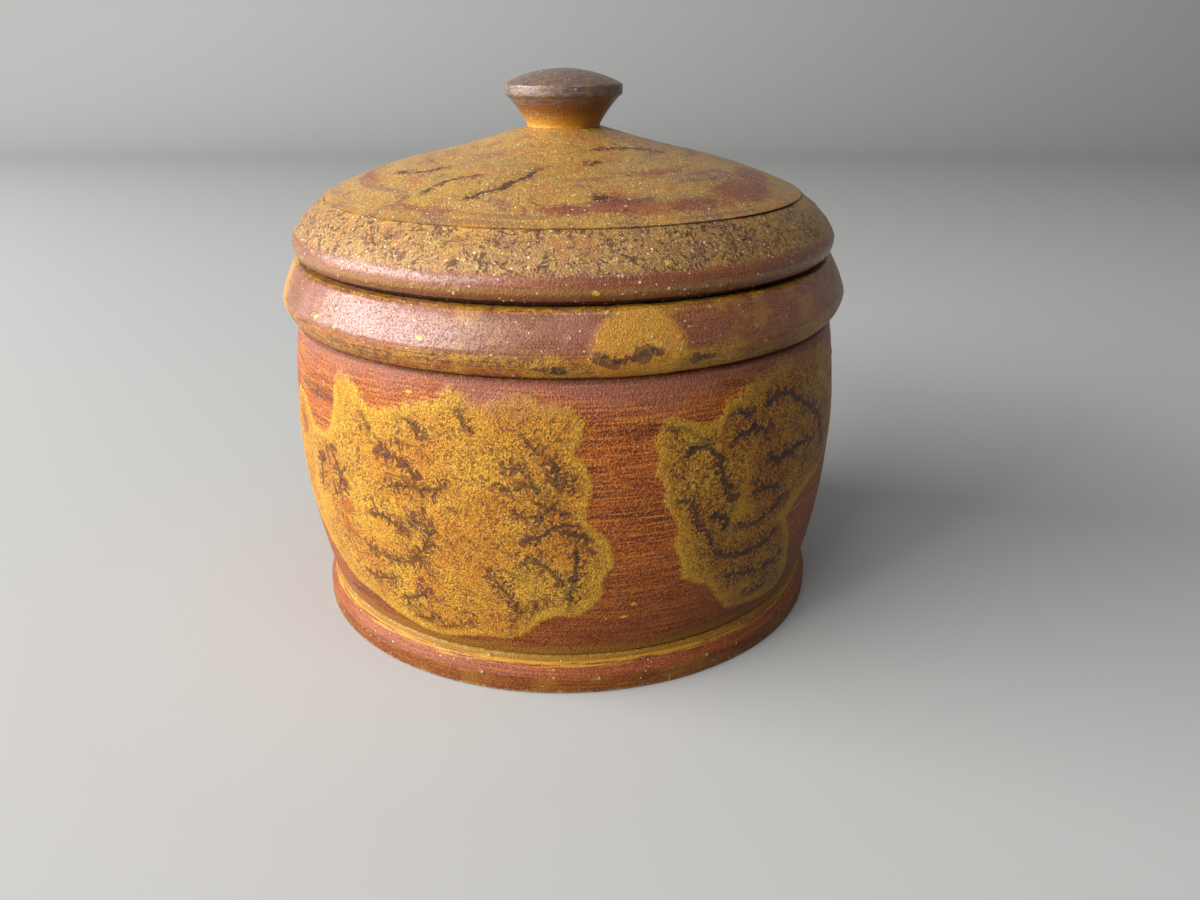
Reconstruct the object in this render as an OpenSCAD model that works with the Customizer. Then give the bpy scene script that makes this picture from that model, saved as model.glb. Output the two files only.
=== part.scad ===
// Turned wooden canister with a lift-off domed lid and a flared knob.
// Every piece is turned by itself, and the pieces are glued up in a stack with a lap,
// a locating ring or a wedged tenon at each joint.
// Millimetres, +Z up, origin at the middle of the ring that the foot stands on.

/* [Foot board] */
// How far the foot's edge stands out past the foot of the wall
foot_out = 1.8; // [0.8:0.1:5]
// Height of the foot's upright edge
foot_edge_h = 3.6; // [2:0.1:8]
// Height of the slope above that edge
foot_slope_h = 1.8; // [1:0.1:4]
// How far the slope leans in
foot_slope_in = 1.2; // [0.4:0.1:2]
// Height of the hollow moulding between the slope and the wall
foot_cove_h = 2.2; // [1:0.1:4]
// How deep the hollow moulding is cut
foot_cove_s = 0.25; // [0.1:0.05:0.4]
// Width of the ring that the canister stands on
foot_ring_w = 11; // [8:0.5:20]
// Depth of the hollow inside that ring
foot_hollow_h = 1; // [0.4:0.1:2]
// Height of the raised floor that fills the foot of the wall
floor_h = 3; // [2:0.1:6]

/* [Foot pegs] */
// Number of pegs that pin the foot board to the wall
peg_n = 6; // [4:1:10]
// Diameter of a peg
peg_d = 3; // [2:0.1:3.6]
// How far a peg reaches up into the wall
peg_grip = 6; // [4:0.1:10]
// How far a peg's lower end stays above the table
peg_shy = 0.2; // [0.1:0.1:0.6]

/* [Wall] */
// How far the belly, the widest part of the wall, stands out past its foot
belly_out = 4.7; // [1:0.1:12]
// Height of the belly above the table
belly_z = 42; // [36:0.5:56]
// Diameter where the wall stands on the foot board
base_d = 110; // [90:0.2:140]
// Height of the wall from the foot board to the rim band
wall_h = 57.4; // [46:0.2:80]
// Thickness of the wall
wall_t = 6; // [5:0.1:9]

/* [Rim band] */
// Height of the band
rim_h = 12; // [9:0.2:20]
// Height of the band's edge, its widest part, above the wall
rim_edge_h = 5; // [2:0.1:7]
// How far that edge stands out past the wall
rim_out = 2.6; // [1:0.1:6]
// Swell of the slope below the edge
rim_low_s = 0.65; // [0.1:0.05:0.9]
// How far the slope above the edge leans back in
rim_slope_in = 3.2; // [1:0.1:4]
// Swell of that slope
rim_slope_s = 0.25; // [0.1:0.05:0.6]
// Height of the wall's tongue inside the band
tongue_h = 6; // [3:0.1:8]
// Thickness of the wall's tongue
tongue_t = 3; // [2:0.1:3.6]

/* [Lid board] */
// How far the lid's lip stays inside the rim band's edge
lid_in = 2.9; // [1:0.1:3.6]
// Height of the shadow gap under the lip
lip_gap_h = 1.1; // [0.6:0.1:3]
// How far the lip reaches out past the seat on the rim band
lip_w = 3; // [2:0.1:4]
// Height of the lip
lip_h = 4.5; // [2.5:0.1:8]
// How far the lip's lower edge is drawn in
lip_under = 1; // [0.4:0.1:1.8]
// How far the lip's upper edge is drawn in
lip_over = 0.6; // [0.2:0.1:1.6]
// Swell of the lip
lip_s = 0.8; // [0.2:0.05:1.2]
// Height of the slope between the lip and the crown
bevel_h = 6.4; // [4:0.1:12]
// How far that slope leans in
bevel_in = 7.2; // [4:0.1:12]
// Swell of that slope
bevel_s = 0.5; // [0.1:0.05:0.8]
// Thickness of wood left over the hollow under the lid
lid_web = 5; // [3:0.1:8]

/* [Lid ring] */
// Height of the ring that locates the lid in the mouth
spigot_h = 5; // [3:0.1:10]
// Thickness of the ring
spigot_t = 5; // [3:0.1:8]
// Lead-in on the ring's lower outer edge
spigot_lead = 1; // [0.5:0.1:2]

/* [Crown] */
// Height of the crown
crown_h = 12.9; // [10:0.1:20]
// Height of the crown's upright edge
crown_edge_h = 0.4; // [0.2:0.1:2]
// Diameter at which the crown's curve turns from full to hollow
ogee_d = 54; // [36:0.5:80]
// Height of that turn above the foot of the crown
ogee_h = 7.9; // [5:0.1:9]
// Fullness of the outer curve
crown_full_s = 0.7; // [0.2:0.05:2]
// Hollow of the inner curve
crown_hollow_s = 0.2; // [0.1:0.05:0.6]
// Diameter of the flat that the knob stands on
knob_seat_d = 17.4; // [16:0.1:24]

/* [Knob] */
// Diameter at the waist
knob_waist_d = 15.2; // [12:0.1:18]
// Height of the plain neck
knob_neck_h = 0.7; // [0.3:0.1:3]
// Height of the flare above the neck
knob_flare_h = 5.4; // [3:0.1:10]
// Diameter at the top of the flare
knob_flare_d = 23.2; // [18:0.1:30]
// Hollow of the flare
knob_flare_s = 0.2; // [0.1:0.05:0.6]
// Height of the step under the knob's edge
knob_step_h = 0.5; // [0.2:0.1:1.5]
// Diameter of the knob's edge
knob_d = 24.6; // [20:0.1:36]
// Height of the knob's edge
knob_edge_h = 2; // [1:0.1:5]
// Rise of the domed top
knob_dome_h = 3; // [1:0.1:6]
// Diameter of the tenon that goes down through the lid
tenon_d = 9; // [6:0.1:11]

/* [Knob wedge] */
// Thickness of the wedge at the end that shows under the lid
wedge_t = 2.2; // [1.4:0.1:3]
// Thickness of the wedge at its tip
wedge_tip_t = 0.6; // [0.3:0.1:1.2]
// Length of the wedge
wedge_l = 10; // [6:0.1:14]

/* [Fits and edges] */
// Clearance all round between the locating ring and the mouth
lid_clearance = 0.6; // [0.4:0.05:1.2]
// Glue line between pieces that fit one inside the other
glue_gap = 0.1; // [0.05:0.01:0.2]
// Half width of the V cut along each glued seam
seam_v = 0.5; // [0.2:0.05:0.8]
// Chamfer on the other sharp edges
edge_soft = 0.4; // [0.2:0.05:0.6]

/* [Hidden] */
$fn = 180;

// Margin by which a cut runs past the face that it opens
past = 1;

// Heights in the stack
wall_z = foot_edge_h + foot_slope_h + foot_cove_h;
shoulder_z = wall_z + wall_h;
lid_z = shoulder_z + rim_h;
lip_z = lid_z + lip_gap_h;
bevel_z = lip_z + lip_h;
crown_z = bevel_z + bevel_h;
knob_z = crown_z + crown_h;
tenon_z = crown_z - lid_web;
tenon_l = knob_z - tenon_z;

// The wall's outside is one arc through the belly and the foot of the wall
base_r = base_d / 2;
belly_r = base_r + belly_out;
barrel_r = (pow(belly_z - wall_z, 2) + pow(belly_out, 2)) / (2 * belly_out);
barrel_x = belly_r - barrel_r;

// Radius at height z of the arc that lies depth inside the wall's outside
function barrel_at(z, depth = 0) =
    barrel_x + sqrt(pow(barrel_r - depth, 2) - pow(z - belly_z, 2));

// Radii that the neighbouring pieces share
foot_r = base_r + foot_out;
shoulder_r = barrel_at(shoulder_z);
mouth_r = barrel_at(shoulder_z, wall_t);
tongue_r = mouth_r + tongue_t;
rim_r = shoulder_r + rim_out;
rim_top_r = rim_r - rim_slope_in;
lid_r = rim_r - lid_in;
seat_r = lid_r - lip_w;
spigot_r = mouth_r - lid_clearance;
hollow_r = spigot_r - spigot_t;
crown_r = lid_r - bevel_in;
tenon_r = tenon_d / 2;
peg_ring_r = (base_r + barrel_at(wall_z, wall_t)) / 2;

// Sliver between the chord from a to b and an arc that rises s from it,
// to the left of the way from a to b
module arc_sliver(a, b, s) {
    chord = norm(b - a);
    along = (b - a) / chord;
    left = [-along[1], along[0]];
    r = (pow(chord / 2, 2) + s * s) / (2 * s);
    intersection() {
        translate((a + b) / 2 + left * (s - r)) circle(r);
        polygon([a, b, b + left * s * 2, a + left * s * 2]);
    }
}

// Diamond that cuts a corner back by v both ways, so that two pieces meet in a V
module corner_cut(r, z, v) {
    translate([r, z]) rotate(45) square(v * sqrt(2), center = true);
}

// Everything inside the wall's outside, set in by depth, from height z up to z + h
module barrel_slice(depth, z, h) {
    intersection() {
        translate([barrel_x, belly_z]) circle(barrel_r - depth);
        translate([0, z]) square([belly_r + past, h]);
    }
}

// The places of the pegs round the foot
module at_pegs() {
    for (i = [0 : peg_n - 1])
        rotate([0, 0, 360 * (i + 0.5) / peg_n]) translate([peg_ring_r, 0, 0]) children();
}

// Foot board: moulded edge, raised floor inside the wall, relieved underside
module foot_board() {
    slope_top = [foot_r - foot_slope_in, foot_edge_h + foot_slope_h];
    cove_top = [base_r, wall_z];
    ring_r = foot_r - foot_ring_w;
    color("saddlebrown") difference() {
        rotate_extrude() difference() {
            union() {
                polygon([
                    [0, 0], [foot_r, 0], [foot_r, foot_edge_h], slope_top, cove_top, [0, wall_z]
                ]);
                barrel_slice(wall_t + glue_gap, wall_z - past, floor_h + past);
            }
            arc_sliver(slope_top, cove_top, foot_cove_s);
            polygon([
                [-past, -past], [ring_r + past, -past], [ring_r - foot_hollow_h, foot_hollow_h],
                [-past, foot_hollow_h]
            ]);
            corner_cut(foot_r, 0, edge_soft);
            corner_cut(foot_r, foot_edge_h, edge_soft / 2);
            corner_cut(base_r, wall_z, seam_v);
        }
        at_pegs() translate([0, 0, -past]) cylinder(h = wall_z + 2 * past, d = peg_d + 2 * glue_gap);
    }
}

// Pegs driven up through the foot board into the end of the wall
module foot_pegs() {
    color("tan") at_pegs() translate([0, 0, peg_shy])
        cylinder(h = wall_z + peg_grip - peg_shy, d = peg_d);
}

// Barrel wall: one turned shell with a tongue on its upper end
module barrel_wall() {
    color("peru") difference() {
        rotate_extrude() difference() {
            union() {
                barrel_slice(0, wall_z, wall_h);
                translate([0, shoulder_z - past]) square([tongue_r, tongue_h + past]);
            }
            barrel_slice(wall_t, wall_z - past, wall_h + past);
            translate([-past, shoulder_z - past]) square([mouth_r + past, tongue_h + 2 * past]);
            corner_cut(base_r, wall_z, seam_v);
            corner_cut(shoulder_r, shoulder_z, seam_v);
        }
        at_pegs() translate([0, 0, wall_z - past])
            cylinder(h = peg_grip + past + glue_gap, d = peg_d + 2 * glue_gap);
    }
}

// Rim band: full below its edge and sloping in above it, lapped over the wall's tongue
module rim_band() {
    top = [rim_top_r, lid_z];
    edge = [rim_r, shoulder_z + rim_edge_h];
    low = [shoulder_r, shoulder_z];
    color("sienna") rotate_extrude() difference() {
        union() {
            polygon([
                [mouth_r, shoulder_z + tongue_h], [tongue_r + glue_gap, shoulder_z + tongue_h],
                [tongue_r + glue_gap, shoulder_z], low, edge, top, [mouth_r, lid_z]
            ]);
            arc_sliver(top, edge, rim_slope_s);
            arc_sliver(edge, low, rim_low_s);
        }
        corner_cut(mouth_r, lid_z, edge_soft);
        corner_cut(rim_top_r, lid_z, edge_soft);
        corner_cut(rim_r, shoulder_z + rim_edge_h, edge_soft / 2);
        corner_cut(shoulder_r, shoulder_z, seam_v);
    }
}

// Lid board: lip, bevelled band and the seat on the rim, hollowed underneath
module lid_board() {
    lip_low = [lid_r - lip_under, lip_z];
    lip_top = [lid_r - lip_over, bevel_z];
    bevel_top = [crown_r, crown_z];
    color("darkgoldenrod") rotate_extrude() difference() {
        union() {
            polygon([
                [tenon_r + glue_gap, tenon_z], [hollow_r, tenon_z], [hollow_r, lid_z], [seat_r, lid_z],
                lip_low, lip_top, bevel_top, [tenon_r + glue_gap, crown_z]
            ]);
            arc_sliver(lip_top, lip_low, lip_s);
            arc_sliver(bevel_top, lip_top, bevel_s);
        }
        corner_cut(crown_r, crown_z, seam_v / 2);
    }
}

// Lid ring: locates the lid in the mouth, glued under the lid board
module lid_ring() {
    color("burlywood") rotate_extrude() difference() {
        translate([hollow_r, lid_z - spigot_h]) square([spigot_t, spigot_h]);
        corner_cut(spigot_r, lid_z - spigot_h, spigot_lead);
        corner_cut(hollow_r, lid_z - spigot_h, edge_soft);
    }
}

// Crown: full at its edge and hollow towards the knob
module lid_crown() {
    edge_top = [crown_r, crown_z + crown_edge_h];
    ogee = [ogee_d / 2, crown_z + ogee_h];
    seat_edge = [knob_seat_d / 2, knob_z];
    color("goldenrod") rotate_extrude() difference() {
        union() {
            polygon([
                [tenon_r + glue_gap, crown_z], [crown_r, crown_z], edge_top, ogee, seat_edge,
                [tenon_r + glue_gap, knob_z]
            ]);
            arc_sliver(ogee, edge_top, crown_full_s);
        }
        arc_sliver(ogee, seat_edge, crown_hollow_s);
        corner_cut(crown_r, crown_z, seam_v / 2);
    }
}

// The wedge's outline across the tenon, open at the tenon's lower end
module wedge_outline() {
    polygon([
        [-wedge_t / 2, tenon_z], [wedge_t / 2, tenon_z],
        [wedge_tip_t / 2, tenon_z + wedge_l], [-wedge_tip_t / 2, tenon_z + wedge_l]
    ]);
}

// The wedge's outline drawn out to length l across the tenon
module wedge_bar(l) {
    rotate([90, 0, 0]) linear_extrude(l, center = true) wedge_outline();
}

// Knob: domed top, thin edge and flared neck, with a split tenon below
module knob() {
    neck_top = [knob_waist_d / 2, knob_z + knob_neck_h];
    flare_top = neck_top + [(knob_flare_d - knob_waist_d) / 2, knob_flare_h];
    edge_low = [knob_d / 2, flare_top[1] + knob_step_h];
    edge_top = edge_low + [0, knob_edge_h];
    dome_left = [-edge_top[0], edge_top[1]];
    color("olivedrab") difference() {
        rotate_extrude() difference() {
            union() {
                polygon([
                    [0, tenon_z], [tenon_r, tenon_z], [tenon_r, knob_z], [neck_top[0], knob_z], neck_top,
                    flare_top, edge_low, edge_top, [0, edge_top[1]]
                ]);
                intersection() {
                    arc_sliver(dome_left, edge_top, knob_dome_h);
                    translate([0, edge_top[1]]) square([edge_top[0], knob_dome_h + past]);
                }
            }
            arc_sliver(neck_top, flare_top, knob_flare_s);
        }
        wedge_bar(tenon_d + past);
    }
}

// Wedge driven into the split tenon from under the lid and trimmed round with it
module knob_wedge() {
    color("wheat") intersection() {
        wedge_bar(tenon_d + past);
        translate([0, 0, tenon_z]) cylinder(h = tenon_l, r = tenon_r);
    }
}

foot_board();
foot_pegs();
barrel_wall();
rim_band();
lid_board();
lid_ring();
lid_crown();
knob();
knob_wedge();
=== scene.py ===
import math
from types import SimpleNamespace

import bmesh
import bpy
import numpy as np
from mathutils import Matrix, Vector, noise


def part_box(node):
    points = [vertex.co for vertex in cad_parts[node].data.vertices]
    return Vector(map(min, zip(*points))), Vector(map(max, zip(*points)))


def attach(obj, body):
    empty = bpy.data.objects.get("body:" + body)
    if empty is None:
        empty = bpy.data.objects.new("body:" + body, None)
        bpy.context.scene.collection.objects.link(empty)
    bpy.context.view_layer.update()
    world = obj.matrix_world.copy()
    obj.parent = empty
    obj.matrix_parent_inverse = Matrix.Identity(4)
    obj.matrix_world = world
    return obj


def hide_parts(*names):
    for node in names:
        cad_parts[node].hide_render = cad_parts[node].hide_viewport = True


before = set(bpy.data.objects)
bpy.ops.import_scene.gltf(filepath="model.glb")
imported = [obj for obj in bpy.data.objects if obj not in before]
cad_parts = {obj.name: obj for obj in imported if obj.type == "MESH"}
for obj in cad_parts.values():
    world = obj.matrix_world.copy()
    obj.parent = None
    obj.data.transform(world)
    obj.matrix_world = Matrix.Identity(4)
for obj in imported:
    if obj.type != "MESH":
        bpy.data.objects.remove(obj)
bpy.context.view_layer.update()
scene = bpy.context.scene

# Camera: a hand-held camera close in front of the canister, level with the top of the knob
# and looking down at the belly. The picture is 4 wide to 3 high.
CAMERA_PLACE = (0.0076, -0.2241, 0.1196)
CAMERA_PITCH = 22.1
CAMERA_LENS = 30.6
camera = bpy.data.objects.new("camera", bpy.data.cameras.new("camera"))
camera.data.lens = CAMERA_LENS
camera.data.clip_start = 0.01
camera.location = CAMERA_PLACE
camera.rotation_euler = (math.radians(90 - CAMERA_PITCH), 0, 0)
scene.collection.objects.link(camera)
scene.camera = camera

# Foot board: a turned disc of soft wood with a moulded edge, which closes the canister below.
# Its edge is painted rust with a yellow line in the cove, and its underside is bare wood.
MM = 0.001
OFF_SEAM = math.radians(0.4)


def section(node):
    """Half section of a turned node: its outline as (radius, height) in millimetres."""
    cut = bmesh.new()
    cut.from_mesh(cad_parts[node].data)
    bmesh.ops.remove_doubles(cut, verts=cut.verts, dist=MM / 1000)
    cut.transform(Matrix.Rotation(-OFF_SEAM, 4, "Z"))
    everything = [*cut.verts, *cut.edges, *cut.faces]
    plane = bmesh.ops.bisect_plane(cut, geom=everything, plane_co=(0, 0, 0), plane_no=(0, 1, 0))
    beside = {}
    for edge in plane["geom_cut"]:
        if isinstance(edge, bmesh.types.BMEdge) and min(v.co.x for v in edge.verts) > -MM / 1000:
            for vert in edge.verts:
                beside.setdefault(vert, []).append(edge.other_vert(vert))
    ends = [vert for vert, others in beside.items() if len(others) == 1]
    walk = [ends[0] if ends else min(beside, key=lambda v: (round(v.co.x / MM, 3), v.co.z))]
    while True:
        ahead = [vert for vert in beside[walk[-1]] if vert not in walk[-2:-1]]
        if not ahead or ahead[0] is walk[0]:
            break
        walk.append(ahead[0])
    outline = np.array([(v.co.x, v.co.z) for v in walk]) / MM
    if ends:
        axis = [(0, outline[0, 1])], [(0, outline[-1, 1])]
        outline = np.concatenate([axis[0], outline, axis[1]])
    else:
        outline = np.concatenate([outline, outline[:1]])
    r, z = outline.T
    runs_backwards = np.sum(r[:-1] * z[1:] - r[1:] * z[:-1]) < 0
    cut.free()
    return outline[::-1] if runs_backwards else outline


def through(points, step):
    """A round curve through points, in even steps."""
    along = np.concatenate([[0], np.cumsum(np.hypot(*np.diff(points, axis=0).T))])
    at = np.linspace(0, along[-1], max(2, math.ceil(along[-1] / step)) + 1)
    if len(points) < 3:
        return np.stack([np.interp(at, along, side) for side in points.T], 1)
    lean = np.gradient(points, along, axis=0, edge_order=2)
    i = np.clip(np.searchsorted(along, at) - 1, 0, len(points) - 2)
    width = (along[i + 1] - along[i])[:, None]
    x = (at - along[i])[:, None] / width
    near = points[i] * (1 + 2 * x) + lean[i] * width * x
    far = points[i + 1] * (3 - 2 * x) + lean[i + 1] * width * (x - 1)
    return near * (1 - x) ** 2 + far * x ** 2


CORNER = math.radians(16)
FINE_STEP = 0.08
ARRIS_SOFT = 0.2
WEAR_WIDTH = 0.7
AXIS_R = 0.001
TIGHT_REACH = 0.9
HARD_EDGE = math.radians(70)
ROUND_TURN = 0.2
EDGE_GAIN = 1.25
BARE_ROWS = 0.15
TURN_ROWS = 1.2
PAINT_SPILL = 0.2
FAR = 50.0


def blurred(values, width, step, ends="reflect"):
    """Values along an outline, averaged over a width in millimetres."""
    reach = math.ceil(3 * width / step)
    weight = np.exp(-0.5 * (np.arange(-reach, reach + 1) * step / width) ** 2)
    spread = np.pad(values, reach, mode=ends, **({"reflect_type": "odd"} if ends == "reflect" else {}))
    return np.convolve(spread, weight / weight.sum(), "valid")


def traced(outline, tight_z):
    """The outline in fine steps, arcs made round and corners rubbed soft, with how it turns.

    A corner at the tight height is a close joint, so it stays sharp.
    """
    kept = np.concatenate([[True], np.hypot(*np.diff(outline, axis=0).T) > FINE_STEP / 20])
    outline = outline[kept]
    heading = np.unwrap(np.arctan2(*np.diff(outline, axis=0).T[::-1]))
    corners = 1 + np.flatnonzero(np.abs(np.diff(heading)) > CORNER)
    stops = [0, *corners, len(outline) - 1]
    runs = [through(outline[a:b + 1], FINE_STEP)[:-1] for a, b in zip(stops, stops[1:])]
    path = np.concatenate([*runs, outline[-1:]])
    corners = np.cumsum([len(run) for run in runs])[:-1]
    rubbed = np.stack([blurred(side, ARRIS_SOFT, FINE_STEP) for side in path.T], 1)
    path = np.where(np.abs(path[:, 1:] - tight_z) < TIGHT_REACH, path, rubbed)
    path[:, 0] = np.maximum(path[:, 0], 0)
    heading = np.unwrap(np.arctan2(*np.gradient(path, axis=0).T[::-1]))
    turn = blurred(np.gradient(heading) / FINE_STEP, WEAR_WIDTH, FINE_STEP, "edge")
    return path, heading, turn, corners


def turned(name, outline, columns, spacing, paint_from, oval, tight_z=-FAR):
    """A turned piece from its outline, with each vertex's place and what the finish needs to know."""
    path, heading, turn, corners = traced(outline, tight_z)
    facing_r, facing_z = np.sin(heading), -np.cos(heading)
    painted = (path[:, 0] > paint_from) & ((facing_r > 0.1) | (facing_z > 0.5))
    run = np.concatenate([[0], np.cumsum(np.hypot(*np.diff(path, axis=0).T))])
    crowding = np.where(painted, 1, BARE_ROWS) / spacing + TURN_ROWS * np.abs(turn)
    count = np.concatenate([[0], np.cumsum(crowding[1:] * np.diff(run))])
    rows = np.interp(np.linspace(0, 1, math.ceil(count[-1]) + 1), count / count[-1], np.arange(len(run)))
    rows[np.abs(rows[:, None] - corners).argmin(0)] = corners

    def at_rows(values):
        return np.interp(rows, np.arange(len(run)), values)

    r, z = at_rows(path[:, 0]), at_rows(path[:, 1])
    poles = r[0] < AXIS_R
    rings = np.arange(1, len(rows) - 1) if poles else np.arange(len(rows) - 1)
    tips = [0, len(rows) - 1] if poles else []
    circle = np.radians(np.linspace(-180, 180, columns, endpoint=False))

    def per_vertex(values):
        return np.concatenate([np.repeat(values[rings], columns), values[tips]])

    angle = np.concatenate([np.tile(circle, len(rings)), np.zeros(len(tips))])
    radius, height = per_vertex(r), per_vertex(z)
    radius = radius * (1 + oval[0] * np.cos(2 * angle + oval[1]))
    nr, nz = per_vertex(at_rows(facing_r)), per_vertex(at_rows(facing_z))
    normal = np.stack([nr * np.sin(angle), -nr * np.cos(angle), nz], 1)
    place = np.stack([radius * np.sin(angle), -radius * np.cos(angle), height], 1)

    grid = np.arange(len(rings) * columns).reshape(len(rings), columns)
    after = np.roll(grid, -1, axis=1)
    upper, upper_after = (grid[1:], after[1:]) if poles else (np.roll(grid, -1, 0), np.roll(after, -1, 0))
    lower, lower_after = (grid[:-1], after[:-1]) if poles else (grid, after)
    quads = np.stack([lower, lower_after, upper_after, upper], -1).reshape(-1, 4).tolist()
    fans = []
    if poles:
        first, last = len(grid) * columns, len(grid) * columns + 1
        fans += [(first, int(b), int(a)) for a, b in zip(grid[0], after[0])]
        fans += [(last, int(a), int(b)) for a, b in zip(grid[-1], after[-1])]
    mesh = bpy.data.meshes.new(name)
    mesh.from_pydata((place * MM).tolist(), [], quads + fans)
    mesh.polygons.foreach_set("use_smooth", [True] * len(mesh.polygons))
    mesh.set_sharp_from_angle(angle=HARD_EDGE)
    ob = bpy.data.objects.new(name, mesh)
    scene.collection.objects.link(ob)
    piece = SimpleNamespace(ob=ob, place=place, normal=normal, radius=radius, height=height)
    piece.angle = np.degrees(angle)
    piece.run = per_vertex(at_rows(run))
    spilled = np.maximum(painted, blurred(painted.astype(float), PAINT_SPILL, FINE_STEP, "edge"))
    piece.painted = per_vertex(at_rows(spilled))
    piece.edge = np.clip(EDGE_GAIN * (per_vertex(at_rows(turn)) - ROUND_TURN), 0, 1)
    piece.hollow = np.clip(-per_vertex(at_rows(turn)), 0, 1)
    for known in ("run", "painted", "edge", "hollow"):
        mark(piece, known, getattr(piece, known))
    return piece


def mark(piece, name, values):
    """Writes one value on each vertex for the finish to read."""
    kept = piece.ob.data.attributes
    found = kept.get(name) or kept.new(name, "FLOAT", "POINT")
    found.data.foreach_set("value", np.asarray(values, np.float32))


def lumps(place, size):
    """Smooth unevenness, about -1 to 1, in lumps of a size in millimetres."""
    return np.array([noise.noise(point) for point in (place / size).tolist()])


def press(piece, amount):
    """Moves the surface out along its own normal, in millimetres."""
    piece.place = piece.place + piece.normal * amount[:, None]
    piece.ob.data.vertices.foreach_set("co", (piece.place * MM).astype(np.float32).ravel())
    piece.ob.data.update()


def uneven(piece, broad=0.06, small=0.03):
    """Brushed paint lies a little thicker here and thinner there."""
    return piece.painted * (broad * lumps(piece.place, 7) + small * lumps(piece.place, 1.7))


def round_from(piece, angle):
    """Degrees round the axis from an angle to each vertex, the short way."""
    return (piece.angle - angle + 180) % 360 - 180


def chipped(piece, seed, count, depth, low, high):
    """Small knocks along the sharp edges between two heights."""
    draw = np.random.default_rng(seed)
    knocks = np.zeros(len(piece.angle))
    for middle, wide, deep in zip(draw.uniform(-180, 180, count), draw.uniform(0.6, 2.4, count),
                                  draw.uniform(0.4, 1, count)):
        away = round_from(piece, middle)
        knocks = np.maximum(knocks, deep * np.exp(-(away / wide) ** 4))
    within = (piece.height > low) & (piece.height < high)
    knocks = knocks * within * np.clip(piece.edge * 1.6, 0, 1)
    mark(piece, "chip", knocks)
    return -depth * knocks


def nibs(piece, seed, count, low, high, rise=0.2):
    """Grains caught in the paint between two heights, each a small bead."""
    draw = np.random.default_rng(seed)
    within = np.flatnonzero((piece.painted > 0.9) & (piece.height > low) & (piece.height < high))
    lift = np.zeros(len(piece.place))
    for middle, size in zip(piece.place[draw.choice(within, count)], draw.uniform(0.3, 0.65, count)):
        lift = np.maximum(lift, np.exp(-(np.linalg.norm(piece.place - middle, axis=1) / size) ** 2))
    mark(piece, "nib", lift)
    return rise * lift


def flecked(piece, flecks):
    """Stray flecks of paint, each with its angle, height, half length, half width and lean."""
    inside = np.zeros(len(piece.angle))
    for angle, height, half_l, half_w, lean in flecks:
        aside = np.radians(round_from(piece, angle)) * piece.radius
        above = piece.height - height
        c, s = math.cos(math.radians(lean)), math.sin(math.radians(lean))
        away = np.hypot((aside * c + above * s) / half_l, (above * c - aside * s) / half_w)
        inside = np.maximum(inside, np.exp(-away ** 2))
    mark(piece, "fleck", inside)
    return 0.12 * inside


CANISTER_OVAL = (0.0012, 0.6)
FOOT_PAINT_R = 52
foot = turned("foot_board_turned", section("foot_board"), columns=720, spacing=0.35,
              paint_from=FOOT_PAINT_R, oval=CANISTER_OVAL)
foot_chips = chipped(foot, seed=5, count=40, depth=0.4, low=2, high=7)
foot_nibs = nibs(foot, seed=6, count=30, low=1, high=7)
press(foot, uneven(foot) + foot_chips + foot_nibs)


def paint(red, green, blue):
    """A paint colour given by its screen values from 0 to 255."""
    shares = [value / 255 for value in (red, green, blue)]
    return (*[s / 12.92 if s < 0.04 else ((s + 0.055) / 1.055) ** 2.4 for s in shares], 1)


def put(tree, kind, inputs={}, **settings):
    """Adds a shader node, sets it up, and fills or wires its inputs."""
    made = tree.nodes.new("ShaderNode" + kind)
    for name, value in settings.items():
        setattr(made, name, value)
    for socket, value in inputs.items():
        if isinstance(value, bpy.types.NodeSocket):
            tree.links.new(value, made.inputs[socket])
        else:
            made.inputs[socket].default_value = value
    return made


def calc(tree, operation, *values):
    """One step of arithmetic."""
    return put(tree, "Math", dict(enumerate(values)), operation=operation).outputs[0]


def times(tree, value, share):
    """One value multiplied by another."""
    return calc(tree, "MULTIPLY", value, share)


def added(tree, value, share, to):
    """A share of one value added to another."""
    return calc(tree, "MULTIPLY_ADD", value, share, to)


def vector(tree, operation, *values):
    """One step of arithmetic on places."""
    return put(tree, "VectorMath", dict(enumerate(values)), operation=operation).outputs[0]


def scaled(tree, place, scale):
    """A place drawn out from the origin by a scale."""
    return put(tree, "VectorMath", {0: place, "Scale": scale}, operation="SCALE").outputs[0]


def fade(tree, value, low, high):
    """0 at low, 1 at high, and a soft rise between."""
    span = {"Value": value, "From Min": low, "From Max": high}
    return put(tree, "MapRange", span, interpolation_type="SMOOTHSTEP").outputs[0]


def over(tree, amount, under, top):
    """One colour laid over another."""
    return put(tree, "Mix", {0: amount, 6: under, 7: top}, data_type="RGBA").outputs[2]


def cloudy(tree, place, scale, detail=2.0, rough=0.5):
    """Soft random patches, mostly from 0.3 to 0.7."""
    inputs = {"Vector": place, "Scale": scale, "Detail": detail, "Roughness": rough}
    return put(tree, "TexNoise", inputs).outputs[0]


def astray(tree, place, scale, detail, rough=0.5):
    """Soft random patches, as far below 0 as above it."""
    return calc(tree, "SUBTRACT", cloudy(tree, place, scale, detail, rough), 0.5)


def told(tree, name):
    """A value that is written on the mesh."""
    return put(tree, "Attribute", attribute_name=name).outputs["Fac"]


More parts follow.
